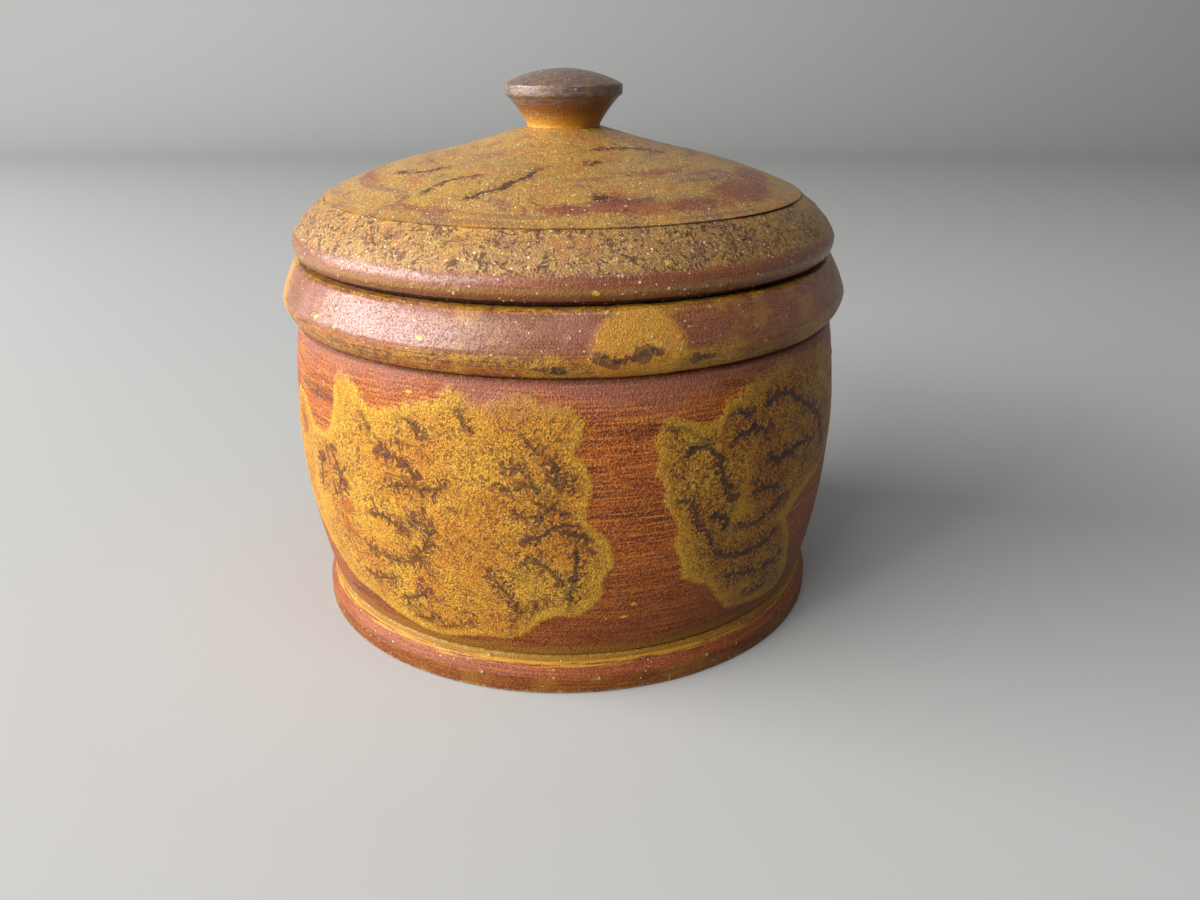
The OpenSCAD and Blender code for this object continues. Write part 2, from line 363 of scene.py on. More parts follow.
def effect(name, inputs, outputs):
    """An empty shader group with its named sockets."""
    tree = bpy.data.node_groups.new(name, "ShaderNodeTree")
    for socket, (kind, value) in inputs.items():
        made = tree.interface.new_socket(socket, in_out="INPUT", socket_type="NodeSocket" + kind)
        made.default_value = value
    for socket, kind in outputs.items():
        tree.interface.new_socket(socket, in_out="OUTPUT", socket_type="NodeSocket" + kind)
    given, sent = tree.nodes.new("NodeGroupInput"), tree.nodes.new("NodeGroupOutput")
    return tree, given.outputs, sent.inputs


def send(tree, sent, **results):
    """Wires a group's results to its output sockets."""
    for socket, value in results.items():
        tree.links.new(value, sent[socket])


def use(tree, group, inputs={}):
    """A group placed in a material."""
    return put(tree, "Group", inputs, node_tree=group).outputs


SWEEP_R = 58.0
turning, _, sent = effect("turning", {}, {"Place": "Vector", "Sweep": "Vector", "Up": "Float"})
here = put(turning, "TexCoord").outputs["Object"]
here = scaled(turning, here, 1 / MM)
apart = put(turning, "SeparateXYZ", {0: here}).outputs
level = put(turning, "CombineXYZ", {0: apart[0], 1: apart[1]}).outputs[0]
round_axis = scaled(turning, vector(turning, "NORMALIZE", level), SWEEP_R)
rise = put(turning, "CombineXYZ", {2: told(turning, "run")}).outputs[0]
send(turning, sent, Place=here, Sweep=vector(turning, "ADD", round_axis, rise), Up=apart[2])

brushing, given, sent = effect(
    "brushing", {"Sweep": ("Vector", (0, 0, 0))}, {"Streak": "Float", "Band": "Float", "Ridge": "Float"}
)
streak = cloudy(brushing, vector(brushing, "MULTIPLY", given["Sweep"], (0.1, 0.1, 2.4)), 1, 4, 0.65)
band = cloudy(brushing, vector(brushing, "MULTIPLY", given["Sweep"], (0.035, 0.035, 0.42)), 1, 3, 0.55)
ridge = cloudy(brushing, vector(brushing, "MULTIPLY", given["Sweep"], (0.08, 0.08, 3.4)), 1, 2, 0.5)
send(brushing, sent, Streak=streak, Band=band, Ridge=ridge)

stipple, given, sent = effect(
    "stipple", {"Place": ("Vector", (0, 0, 0))}, {"Light": "Float", "Chance": "Float", "Height": "Float"}
)
fine_grain = cloudy(stipple, given["Place"], 2.8, 3, 0.7)
pimples = put(
    stipple, "TexVoronoi", {"Vector": given["Place"], "Scale": 2.5}, feature="SMOOTH_F1"
).outputs["Distance"]
rise = calc(stipple, "SUBTRACT", fine_grain, times(stipple, pimples, 0.45))
shaken = put(stipple, "TexNoise", {"Vector": given["Place"], "Scale": 2.0}).outputs["Color"]
shaken = scaled(stipple, shaken, 0.5)
grains = put(stipple, "TexVoronoi", {"Vector": vector(stipple, "ADD", given["Place"], shaken), "Scale": 3.3})
chance = put(stipple, "SeparateColor", {0: grains.outputs["Color"]}).outputs[0]
send(stipple, sent, Light=fade(stipple, fine_grain, 0.38, 0.62), Chance=chance, Height=rise)

# Pale specks over the paint: some dust, and partly painted glints where light would catch the grit.
dust_and_glints, given, sent = effect(
    "dust_and_glints",
    {"Place": ("Vector", (0, 0, 0)), "Each Millimetre": ("Float", 1.4), "Size": ("Float", 0.3)},
    {"Speck": "Float"},
)
motes = put(dust_and_glints, "TexVoronoi", {"Vector": given["Place"], "Scale": given["Each Millimetre"]})
chance = put(dust_and_glints, "SeparateColor", {0: motes.outputs["Color"]}).outputs[0]
reach = times(dust_and_glints, calc(dust_and_glints, "POWER", chance, 5.0), given["Size"])
speck = fade(dust_and_glints, calc(dust_and_glints, "SUBTRACT", reach, motes.outputs["Distance"]), 0, 0.06)
send(dust_and_glints, sent, Speck=speck)

# Rubbed edges, and a darkening of the hollows: dirt in the turned hollows, and painted shade where the gap
# under the lid is marked hollow.
wear_and_shade, given, sent = effect(
    "wear_and_shade", {"Place": ("Vector", (0, 0, 0))}, {"Worn": "Float", "Grime": "Float", "Painted": "Float"}
)
ragged = astray(wear_and_shade, given["Place"], 0.9, 5, 0.75)
rubbed = added(wear_and_shade, ragged, 2.2, calc(wear_and_shade, "ADD", told(wear_and_shade, "edge"), told(wear_and_shade, "chip")))
settled_and_shaded = added(wear_and_shade, ragged, 0.8, told(wear_and_shade, "hollow"))
covered = added(wear_and_shade, ragged, 0.9, told(wear_and_shade, "painted"))
send(
    wear_and_shade, sent, Worn=fade(wear_and_shade, rubbed, 0.4, 1.0), Grime=fade(wear_and_shade, settled_and_shaded, 0.12, 0.6),
    Painted=fade(wear_and_shade, covered, 0.35, 0.6)
)

BOARD_GRAIN = (0.05, 1, 1)
LOG_GRAIN = (1, 1, 0.04)
wood, given, sent = effect(
    "wood",
    {"Place": ("Vector", (0, 0, 0)), "Grain": ("Vector", BOARD_GRAIN),
     "Light": ("Color", paint(186, 146, 96)), "Dark": ("Color", paint(122, 82, 46))},
    {"Color": "Color", "Height": "Float"},
)
bowed = cloudy(wood, given["Place"], 0.03, 2)
bowed = put(wood, "CombineXYZ", {0: 0, 1: times(wood, bowed, 9), 2: 0}).outputs[0]
fibres = vector(wood, "MULTIPLY", vector(wood, "ADD", given["Place"], bowed), given["Grain"])
rings = cloudy(wood, fibres, 0.32, 3, 0.5)
pores = cloudy(wood, fibres, 2.4, 3, 0.6)
shade = added(wood, pores, 0.55, times(wood, rings, 0.6))
stain = fade(wood, cloudy(wood, given["Place"], 0.05, 3), 0.35, 0.75)
tone = over(wood, fade(wood, shade, 0.42, 0.72), given["Dark"], given["Light"])
tone = over(wood, times(wood, stain, 0.45), tone, given["Dark"])
send(wood, sent, Color=tone, Height=pores)

DUST_AND_GLINT = paint(246, 230, 196)
FLECK = paint(232, 186, 62)
# Near-black brown for dirt in the hollows, and for painted shade in the gap under the lid.
GRIME_AND_SHADE = paint(38, 18, 10)
SATIN = 0.38
SHEEN = 0.35
VARNISH_DULL = 0.34
VARNISH_IOR = 1.6
RELIEF = 1.6


def finish(name):
    """A new finish and its shader's sockets."""
    made = bpy.data.materials.new(name)
    made.use_nodes = True
    return made, made.node_tree, made.node_tree.nodes["Principled BSDF"].inputs


def old_paint(tree, shader, turn, colour, relief, rubbed_to,
              grain=BOARD_GRAIN, worn_share=0.7, speck_size=0.3, varnish=0.35, satin=SATIN, sheen=SHEEN):
    """Rubbed edges, dirt and painted shade in the hollows, pale dusty specks and nibs that are partly painted
    glints, and bare unpainted faces, all over one paint colour.
    """
    aged = use(tree, wear_and_shade, {"Place": turn["Place"]})
    colour = over(tree, times(tree, aged["Worn"], worn_share), colour, rubbed_to)
    # Darker hollows: dirt, and painted shade under the lid.
    colour = over(tree, times(tree, aged["Grime"], 0.9), colour, GRIME_AND_SHADE)
    motes = use(tree, dust_and_glints, {"Place": turn["Place"], "Size": speck_size})
    # Painted glints: the dust specks, and the top of each paint nib, are painted pale.
    pale = calc(tree, "MAXIMUM", motes["Speck"], part_of(tree, told(tree, "nib"), 0.55, 0.95, 0.6))
    torn = added(tree, cloudy(tree, turn["Place"], 1.6, 3), 0.7, told(tree, "fleck"))
    colour = over(tree, part_of(tree, torn, 0.75, 0.95, 0.9), colour, FLECK)
    colour = over(tree, times(tree, pale, 0.8), colour, DUST_AND_GLINT)
    bare = use(tree, wood, {"Place": turn["Place"], "Grain": grain})
    colour = over(tree, aged["Painted"], bare["Color"], colour)
    relief = added(tree, motes["Speck"], 0.06, relief)
    fibres = times(tree, bare["Height"], 0.05)
    relief = put(tree, "Mix", {0: aged["Painted"], 2: fibres, 3: relief}).outputs[0]
    dull = added(tree, aged["Grime"], 0.25, satin)
    dull = put(tree, "Mix", {0: aged["Painted"], 2: 0.72, 3: dull}).outputs[0]
    bump = put(tree, "Bump", {"Height": relief, "Strength": 1.0, "Distance": RELIEF * MM})
    clean = added(tree, aged["Grime"], -0.9, aged["Painted"])
    beaded = part_of(tree, cloudy(tree, turn["Place"], 2.6, 3, 0.75), 0.36, 0.58, varnish)
    tree.links.new(colour, shader["Base Color"])
    tree.links.new(dull, shader["Roughness"])
    tree.links.new(bump.outputs[0], shader["Normal"])
    tree.links.new(times(tree, clean, beaded), shader["Coat Weight"])
    shader["Coat Roughness"].default_value = VARNISH_DULL
    shader["Coat IOR"].default_value = VARNISH_IOR
    shader["Specular IOR Level"].default_value = sheen


RUST_DEEP = paint(96, 34, 8)
RUST = paint(178, 84, 20)
RUST_BRIGHT = paint(224, 138, 46)
MUSTARD = paint(234, 178, 46)
OLIVE = paint(156, 112, 30)
FOOT_WORN = paint(206, 168, 112)
FOOT_RED = paint(128, 68, 50)
FOOT_EDGE_SHADE_BROWN = paint(96, 54, 26)


def part_of(tree, value, low, high, share):
    """A soft rise from 0 at low to a share at high."""
    return times(tree, fade(tree, value, low, high), share)


def rust_ground(tree, grain, lines):
    """Rust paint brushed on as the work turns, in lines of lighter and darker paint."""
    colour = over(tree, fade(tree, lines["Band"], 0.3, 0.52), RUST_DEEP, RUST)
    colour = over(tree, part_of(tree, lines["Streak"], 0.5, 0.62, 0.85), colour, RUST_BRIGHT)
    colour = over(tree, part_of(tree, lines["Streak"], 0.48, 0.37, 0.85), colour, RUST_DEEP)
    colour = over(tree, part_of(tree, grain["Light"], 0.6, 1.0, 0.7), colour, RUST_BRIGHT)
    return over(tree, part_of(tree, grain["Light"], 0.4, 0.0, 0.75), colour, RUST_DEEP)


def first_coat(name):
    """A new paint finish, with the place, grain and brush lines that each painted piece has."""
    made, tree, shader = finish(name)
    turn = use(tree, turning)
    grain = use(tree, stipple, {"Place": turn["Place"]})
    lines = use(tree, brushing, {"Sweep": turn["Sweep"]})
    return made, tree, shader, turn, grain, lines


EDGE_Z = 3.6
COVE_LOW, COVE_HIGH = 5.5, 6.5
foot_paint, tree, shader, turn, grain, lines = first_coat("foot_paint")
colour = rust_ground(tree, grain, lines)
uneasy = astray(tree, turn["Place"], 0.12, 3)
wavering = added(tree, uneasy, 1.4, turn["Up"])
slope = over(tree, 0.6, colour, FOOT_RED)
# The upright edge is darker brown than the slope: partly its own paint, partly painted shade.
edge = over(tree, 0.65, colour, FOOT_EDGE_SHADE_BROWN)
edge = over(tree, part_of(tree, uneasy, 0.02, 0.16, 0.4), edge, OLIVE)
colour = over(tree, fade(tree, turn["Up"], EDGE_Z - 0.3, EDGE_Z + 0.2), edge, slope)
in_cove = times(tree, fade(tree, wavering, COVE_LOW - 0.3, COVE_LOW + 0.2),
               fade(tree, wavering, COVE_HIGH + 0.3, COVE_HIGH - 0.2))
in_cove = times(tree, in_cove, part_of(tree, lines["Streak"], 0.42, 0.56, 0.55))
colour = over(tree, fade(tree, wavering, COVE_HIGH - 0.3, COVE_HIGH + 0.3), colour, OLIVE)
colour = over(tree, in_cove, colour, MUSTARD)
relief = added(tree, grain["Height"], 0.10, times(tree, lines["Ridge"], 0.08))
old_paint(tree, shader, turn, colour, relief, FOOT_WORN, varnish=0.1, satin=0.48, sheen=0.2)
foot.ob.data.materials.append(foot_paint)
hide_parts("foot_board")
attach(foot.ob, "canister")

# Foot pegs: six whittled pegs driven up through the foot board into the end of the wall.
# They stay bare, and only their ends show in the ring that the canister stands on.
PEG_ROOM = 0.14
PEG_PALE = paint(168, 124, 76)
PEG_DARK = paint(96, 62, 36)
FIBRE_RELIEF = 0.1


def merged(node):
    """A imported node's mesh as one closed skin."""
    skin = bmesh.new()
    skin.from_mesh(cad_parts[node].data)
    bmesh.ops.remove_doubles(skin, verts=skin.verts, dist=MM / 1000)
    skin.normal_update()
    return skin


def cut_away(ob, skin):
    """Cuts a skin's shape out of a piece."""
    shape = bpy.data.meshes.new("cutter")
    skin.to_mesh(shape)
    skin.free()
    cutter = bpy.data.objects.new("cutter", shape)
    scene.collection.objects.link(cutter)
    cut = ob.modifiers.new("cut", "BOOLEAN")
    cut.object = cutter
    bpy.context.view_layer.objects.active = ob
    bpy.ops.object.modifier_apply(modifier=cut.name)
    bpy.data.objects.remove(cutter)


peg_holes = merged("foot_pegs")
for vert in peg_holes.verts:
    vert.co += vert.normal * PEG_ROOM * MM
    vert.co.z = vert.co.z if vert.co.z > MM else -MM
cut_away(foot.ob, peg_holes)


def split_wood(name, pale, dark, roughness):
    """A finish of bare wood, split along its upright grain."""
    made, tree, shader = finish(name)
    turn = use(tree, turning)
    fibres = use(tree, wood, {"Place": turn["Place"], "Grain": LOG_GRAIN, "Light": pale, "Dark": dark})
    tree.links.new(fibres["Color"], shader["Base Color"])
    shader["Roughness"].default_value = roughness
    bump = put(tree, "Bump", {"Height": fibres["Height"], "Distance": FIBRE_RELIEF * MM})
    tree.links.new(bump.outputs[0], shader["Normal"])
    return made


def refinish(node, material):
    """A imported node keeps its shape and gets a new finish."""
    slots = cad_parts[node].data.materials
    slots.clear()
    slots.append(material)


refinish("foot_pegs", split_wood("peg_wood", PEG_PALE, PEG_DARK, roughness=0.75))

# Barrel wall: one shell turned from a log, full at the belly, with a tongue at its upper end.
# Rust paint is brushed on as it turns, then mustard clouds are dabbed over it and feathered
# with dark brown while wet. Places on it are degrees from the front, each about a millimetre, and heights.
CLOUD_THICK = 0.12
BEAD_THICK = 0.05
RIB_THICK = 0.08
LEFT_CLOUD = [
    (-45, 62), (-40, 60), (-37, 57), (-32, 57), (-27, 59), (-22, 60), (-19, 63), (-16, 62),
    (-13, 60), (-10, 62), (-7, 62.5), (-4, 62), (-3, 61), (0, 61), (3, 60), (5, 57), (4, 54),
    (3, 52), (5, 50), (6, 47), (6, 44), (5, 41), (5, 39), (7, 37), (9, 34), (10, 30), (8, 26),
    (8, 23), (6, 20), (3, 18), (0, 18), (-3, 17), (-6, 14), (-10, 12), (-14, 12), (-19, 11),
    (-23, 10), (-29, 10), (-33, 11), (-37, 12), (-42, 14), (-48, 15), (-54, 18), (-60, 22),
    (-66, 27), (-70, 34), (-71, 43), (-66, 53), (-60, 52), (-55, 48), (-51, 48), (-47, 54),
    (-47, 59),
]
RIGHT_CLOUD = [
    (19, 57), (21, 57), (24, 56), (27, 55), (30, 56), (31, 58), (34, 59), (37, 61), (41, 61),
    (45, 63), (56, 63), (66, 62), (74, 54), (76, 43), (66, 36), (58, 34), (53, 32), (50, 29),
    (52, 26), (54, 20), (56, 15), (54, 11.5), (48, 11), (41, 12), (36, 13), (33, 16), (29, 21),
    (25, 23), (23, 25), (23, 27), (22, 30), (21, 33), (22, 34), (21, 37), (19, 41), (19, 44),
    (17, 48), (18, 50), (17, 53), (18, 55),
]
RUST_GAPS = [(-45, 39, 1.8), (-45, 34, 2.4), (-46, 29, 2.0), (-62, 46, 2.5), (-36, 60, 2.0)]
LEFT_RIBS = [
    [(2, 17), (2, 24), (3, 29), (3, 33)], [(-6, 35), (-3, 36), (0, 38), (4, 38)],
    [(1, 37), (4, 36), (6, 35)], [(-6, 30), (-3, 30), (-1, 28), (0, 26)],
    [(-14, 12), (-10, 13), (-7, 15), (-5, 19), (-4, 21)],
    [(-13, 28), (-11, 25), (-9, 22), (-8, 18)], [(-10, 45), (-7, 45), (-5, 46), (-3, 45)],
    [(-9, 49), (-7, 49), (-5, 48), (-4, 46)], [(-1, 51), (0, 48), (0, 46)],
    [(-7, 40), (-4, 40), (0, 43)], [(-4, 43), (-2, 42), (1, 41)], [(-5, 54), (-3, 52)],
    [(-39, 57), (-37, 53)], [(-17, 59), (-16, 56)], [(-32, 57), (-28, 56), (-24, 54)],
    [(-33, 48), (-30, 48), (-27, 47), (-26, 44)], [(-32, 42), (-28, 43), (-24, 43), (-20, 44)],
    [(-37, 35), (-33, 35), (-30, 33)], [(-27, 36), (-24, 35), (-25, 31), (-28, 28)],
    [(-40, 27), (-36, 26), (-31, 26), (-26, 28)], [(-42, 20), (-38, 20), (-34, 21)],
    [(-32, 17), (-28, 19), (-26, 21)], [(-31, 14), (-29, 13), (-26, 14)],
    [(-25, 12), (-21, 13), (-18, 15)], [(-48, 44), (-46, 40), (-47, 37)], [(-53, 42), (-54, 36)],
]
RIGHT_RIBS = [
    [(23, 50), (26, 51), (29, 49), (30, 46), (31, 43), (33, 39)],
    [(19, 55), (22, 55), (25, 53), (27, 52)],
    [(21, 41), (24, 40), (25, 38), (26, 35), (28, 33), (29, 30)], [(29, 36), (31, 36), (32, 34)],
    [(30, 29), (32, 27), (36, 26), (40, 26), (47, 28)], [(35, 33), (39, 32), (43, 33), (47, 35)],
    [(38, 39), (41, 39), (45, 38)], [(42, 45), (46, 44), (51, 45), (57, 44)],
    [(34, 22), (38, 21), (42, 20), (51, 21)], [(40, 15), (43, 14), (46, 15)],
    [(29, 56), (33, 56), (37, 55)], [(33, 51), (37, 52), (41, 51)],
    [(41, 56), (46, 57), (52, 54), (57, 51)], [(38, 60), (43, 61)], [(58, 50), (62, 46), (63, 41)],
]
CLOUD_MIDDLE_Z = 36
CLOUD_HALF_H = 25
RIBS_HALF_H = 18
UNSEEN_CLOUDS = [(107, 22), (152, 19), (-150, 20), (-103, 22)]
WALL_FLECKS = [(14, 20, 1.3, 0.4, -30), (12, 17, 1.2, 0.3, 10), (-27, 61, 0.9, 0.4, -20)]


def wandering_cloud(middle, half_w, draw):
    """One more cloud of the same hand: its scalloped outline, and the ribs feathered into it."""
    t = np.linspace(0, 2 * np.pi, 64, endpoint=False)
    scallops = 0.86 + 0.14 * np.abs(np.sin(draw.integers(7, 11) * t / 2 + draw.uniform(0, 3)))
    scallops += 0.08 * np.sin(2 * t + draw.uniform(0, 6))
    across, up = half_w * scallops * np.cos(t), CLOUD_HALF_H * scallops * np.sin(t)
    outline = np.stack([middle + across, CLOUD_MIDDLE_Z + up], 1)
    ribs = []
    for _ in range(round(half_w * 0.9)):
        heading, out = draw.uniform(0, 2 * np.pi), math.sqrt(draw.uniform(0, 1))
        across, up = (half_w - 5) * out * math.cos(heading), RIBS_HALF_H * out * math.sin(heading)
        point = np.array([middle + across, CLOUD_MIDDLE_Z + up])
        heading, bend = draw.uniform(0, 2 * np.pi), draw.uniform(-0.6, 0.6)
        rib = [point]
        for _ in range(draw.integers(2, 5)):
            rib.append(rib[-1] + draw.uniform(2, 3.5) * np.array([math.cos(heading), math.sin(heading)]))
            heading += bend
        ribs.append(rib)
    return outline, ribs


def aside_of(points, a, b):
    """How far points lie from a straight stretch, and how far along it as a share."""
    way, from_a = b - a, points - a
    share = np.clip(from_a @ way / (way @ way), 0, 1)
    return np.hypot(*(from_a - share[:, None] * way).T), share


def within_outline(spread, outline):
    """How far each vertex lies inside a closed outline, in millimetres, below 0 outside it."""
    curve = through(np.array([*outline, outline[0]], float), 0.8)
    close = np.flatnonzero(np.hypot(*(spread - curve.mean(0)).T) < np.ptp(curve, axis=0).max() * 0.75 + 9)
    here, away, odd = spread[close], np.full(len(close), FAR), np.zeros(len(close), bool)
    for a, b in zip(curve, curve[1:]):
        away = np.minimum(away, aside_of(here, a, b)[0])
        passes = (here[:, 1] < a[1]) != (here[:, 1] < b[1])
        meets = a[0] + (here[:, 1] - a[1]) * (b[0] - a[0]) / (b[1] - a[1] or 1)
        odd ^= passes & (here[:, 0] < meets)
    inside = np.full(len(spread), -FAR)
    inside[close] = np.where(odd, away, -away)
    return inside


def ribbed(piece, spread, ribs, seed):
    """Writes on each vertex how far it lies from the nearest rib, and how far along it."""
    draw = np.random.default_rng(seed)
    away, along = np.full(len(spread), FAR), np.zeros(len(spread))
    for number, rib in enumerate(ribs):
        curve = through(np.array(rib, float), 0.7)
        bold = draw.uniform(0.75, 1.3)
        close = np.flatnonzero(np.hypot(*(spread - curve.mean(0)).T) < np.ptp(curve, axis=0).max() + 8)
        for step, (a, b) in enumerate(zip(curve, curve[1:])):
            aside, share = aside_of(spread[close], a, b)
            nearer = aside / bold < away[close]
            side = np.sign(np.cross(spread[close] - a, b - a))
            along[close[nearer]] = (number * 31 + (step + share) * 0.7 + side * 11)[nearer]
            away[close[nearer]] = aside[nearer] / bold
    mark(piece, "rib", away)
    mark(piece, "along", along)
    return away


def laid_on(cloud):
    """How thickly mustard lies, from 0 outside a cloud to 1 inside it."""
    return np.clip((cloud + 0.4) / 1.2, 0, 1)


WALL_PAINT_R = 54
wall = turned("barrel_wall_turned", section("barrel_wall"), columns=700, spacing=0.6,
              paint_from=WALL_PAINT_R, oval=CANISTER_OVAL)
wall_spread = np.stack([wall.angle, wall.height], 1)
draw = np.random.default_rng(11)
clouds, ribs = [LEFT_CLOUD, RIGHT_CLOUD], LEFT_RIBS + RIGHT_RIBS
for middle, half_w in UNSEEN_CLOUDS:
    outline, more_ribs = wandering_cloud(middle, half_w, draw)
    clouds.append(outline)
    ribs = ribs + more_ribs
wall_cloud = np.max([within_outline(wall_spread, outline) for outline in clouds], axis=0)
wall_gap = np.zeros(len(wall.angle))
for angle, height, size in RUST_GAPS:
    apart = (wall.angle - angle) ** 2 + (wall.height - height) ** 2
    wall_gap = np.maximum(wall_gap, np.exp(-apart / size ** 2))
mark(wall, "cloud", np.clip(wall_cloud, -9, 9))
mark(wall, "gap", wall_gap)
wall_ribs = ribbed(wall, wall_spread, ribs, 3)
thick = laid_on(wall_cloud)
bead = np.exp(-((wall_cloud - 0.5) / 0.8) ** 2)
stroke = np.exp(-(wall_ribs / 0.7) ** 2) * thick
clouds_laid = wall.painted * (CLOUD_THICK * thick + BEAD_THICK * bead + RIB_THICK * stroke)
wall_nibs = nibs(wall, seed=12, count=150, low=9, high=64)
press(wall, uneven(wall) + clouds_laid + wall_nibs + flecked(wall, WALL_FLECKS))

feathering, given, sent = effect(
    "feathering",
    {"Place": ("Vector", (0, 0, 0)), "Cell": ("Float", 5.0), "Reach": ("Float", 2.4),
     "Teeth": ("Float", 1.4)},
    {"Mark": "Float", "Core": "Float"},
)
swirl = put(feathering, "TexNoise", {"Vector": given["Place"], "Scale": 0.3, "Detail": 2.0}).outputs["Color"]
swirl = scaled(feathering, vector(feathering, "SUBTRACT", swirl, (0.5, 0.5, 0.5)), 1.6)
inverse = calc(feathering, "DIVIDE", 1.0, given["Cell"])
at = vector(feathering, "ADD", scaled(feathering, given["Place"], inverse), swirl)
near = put(feathering, "TexVoronoi", {"Vector": at, "Scale": 1.0}, feature="F1").outputs["Position"]
next_near = put(feathering, "TexVoronoi", {"Vector": at, "Scale": 1.0}, feature="F2").outputs["Position"]
across = vector(feathering, "NORMALIZE", vector(feathering, "SUBTRACT", next_near, near))
middle = vector(feathering, "MULTIPLY", vector(feathering, "ADD", near, next_near), (0.5, 0.5, 0.5))
off = put(feathering, "VectorMath", {0: vector(feathering, "SUBTRACT", middle, at), 1: across},
          operation="DOT_PRODUCT").outputs["Value"]
reached = scaled(feathering, across, off)
root = scaled(feathering, vector(feathering, "ADD", at, reached), given["Cell"])
off = times(feathering, off, given["Cell"])
lively = put(feathering, "TexWhiteNoise", {"Vector": middle}).outputs["Value"]
length = times(feathering, given["Reach"], added(feathering, lively, 1.2, 0.25))
spent = calc(feathering, "DIVIDE", off, length)
comb = cloudy(feathering, root, given["Teeth"], 1)
barb = fade(feathering, added(feathering, spent, -0.1, comb), 0.5, 0.55)
barb = times(feathering, barb, fade(feathering, spent, 1.0, 0.7))
core = times(feathering, fade(feathering, off, 0.45, 0.1), fade(feathering, lively, 0.5, 0.75))
core = times(feathering, core, fade(feathering, cloudy(feathering, root, 0.6, 1), 0.45, 0.58))
send(feathering, sent, Mark=barb, Core=core)

ribs_drawn, given, sent = effect(
    "ribs",
    {"Place": ("Vector", (0, 0, 0)), "Reach": ("Float", 3.6), "Teeth": ("Float", 1.5),
     "Blobs": ("Float", 0.7), "Width": ("Float", 1.5)},
    {"Mark": "Float", "Core": "Float"},
)
away, along = told(ribs_drawn, "rib"), told(ribs_drawn, "along")
stray = astray(ribs_drawn, given["Place"], 0.7, 3)
away = added(ribs_drawn, stray, 0.9, away)
slant = added(ribs_drawn, away, 0.3, added(ribs_drawn, stray, 2.0, along))
slow = put(ribs_drawn, "CombineXYZ", {0: times(ribs_drawn, along, 0.22)}).outputs[0]
long_here = part_of(ribs_drawn, cloudy(ribs_drawn, slow, 1, 1), 0.2, 0.75, given["Reach"])
spent = calc(ribs_drawn, "DIVIDE", away, calc(ribs_drawn, "ADD", long_here, 0.4))
teeth = put(
    ribs_drawn, "CombineXYZ",
    {0: times(ribs_drawn, slant, given["Teeth"]), 1: times(ribs_drawn, away, 0.5)}
).outputs[0]
comb = cloudy(ribs_drawn, teeth, 1, 1)
barb = fade(ribs_drawn, added(ribs_drawn, spent, -0.08, comb), 0.47, 0.52)
barb = times(ribs_drawn, barb, fade(ribs_drawn, spent, 1.0, 0.75))
blob_at = times(ribs_drawn, along, given["Blobs"])
blob = cloudy(ribs_drawn, put(ribs_drawn, "CombineXYZ", {0: blob_at, 1: 7.0}).outputs[0], 1, 2)
half_w = added(ribs_drawn, fade(ribs_drawn, blob, 0.4, 0.66), given["Width"], 0.12)
core = fade(ribs_drawn, calc(ribs_drawn, "SUBTRACT", half_w, away), -0.2, 0.1)
send(ribs_drawn, sent, Mark=barb, Core=core)

OCHRE = paint(218, 134, 28)
OCHRE_DEEP = paint(164, 88, 12)
MUSTARD_DEEP = paint(186, 126, 22)
MUSTARD_PALE = paint(242, 208, 108)
BARK = paint(116, 48, 18)
MAROON = paint(74, 26, 20)
PLUM = paint(42, 18, 18)
PLUM_HAZE = paint(168, 108, 94)
WALL_WORN = paint(206, 160, 76)
SEAM_SHADE_BROWN = paint(98, 44, 18)
HAZE_FROM_Z, HAZE_FULL_Z = 64, 72
SHADE_FROM_Z, SHADE_FULL_Z = 36, 10
OLIVE_FROM_Z, OLIVE_FULL_Z = 11.5, 8.5
FRAY_FROM_Z, FRAY_FULL_Z = 54, 61
SEAM_FROM_Z, SEAM_FULL_Z = 63.8, 64.6
BOLD_FROM_X, BOLD_FULL_X = -15, 15


def dabbed(tree, grain):
    """Mustard dabbed on with a stiff brush, in deep, light and pale grains."""
    colour = over(tree, grain["Light"], MUSTARD_DEEP, MUSTARD)
    colour = over(tree, part_of(tree, grain["Chance"], 0.14, 0.04, 0.35), colour, BARK)
    return over(tree, part_of(tree, grain["Chance"], 0.86, 0.98, 0.5), colour, MUSTARD_PALE)


def marked(tree, place, colour, mark, core):
    """Feather marks over a colour, brown at their tips and nearly black at the rib."""
    stroke = over(tree, fade(tree, cloudy(tree, place, 0.5, 2), 0.4, 0.6), BARK, MAROON)
    colour = over(tree, times(tree, mark, 0.85), colour, stroke)
    return over(tree, times(tree, core, 0.92), colour, PLUM)


wall_paint, tree, shader, turn, grain, lines = first_coat("wall_paint")
place = turn["Place"]
ground = rust_ground(tree, grain, lines)
smoke = cloudy(tree, place, 0.09, 3, 0.6)
high_up = part_of(tree, added(tree, smoke, 14, turn["Up"]), HAZE_FROM_Z, HAZE_FULL_Z, 0.6)
ragged = astray(tree, place, 0.9, 4, 0.65)
ground = over(tree, part_of(tree, turn["Up"], SHADE_FROM_Z, SHADE_FULL_Z, 0.5), ground, RUST_DEEP)
low_down = part_of(tree, added(tree, ragged, 5, turn["Up"]), OLIVE_FROM_Z, OLIVE_FULL_Z, 0.6)
ground = over(tree, low_down, ground, OLIVE)
cloud = added(tree, ragged, 2.0, told(tree, "cloud"))
frayed = times(tree, fade(tree, turn["Up"], FRAY_FROM_Z, FRAY_FULL_Z), ragged)
on_cloud = fade(tree, added(tree, frayed, 5.0, cloud), -0.4, 0.6)
within = fade(tree, added(tree, smoke, 5.0, cloud), 2.4, 6.2)
dab = dabbed(tree, grain)
ochre = over(tree, grain["Light"], OCHRE_DEEP, OCHRE)
dab = over(tree, times(tree, within, part_of(tree, smoke, 0.32, 0.6, 0.62)), dab, ochre)
dab = over(tree, part_of(tree, told(tree, "gap"), 0.2, 0.7, 0.75), dab, RUST)
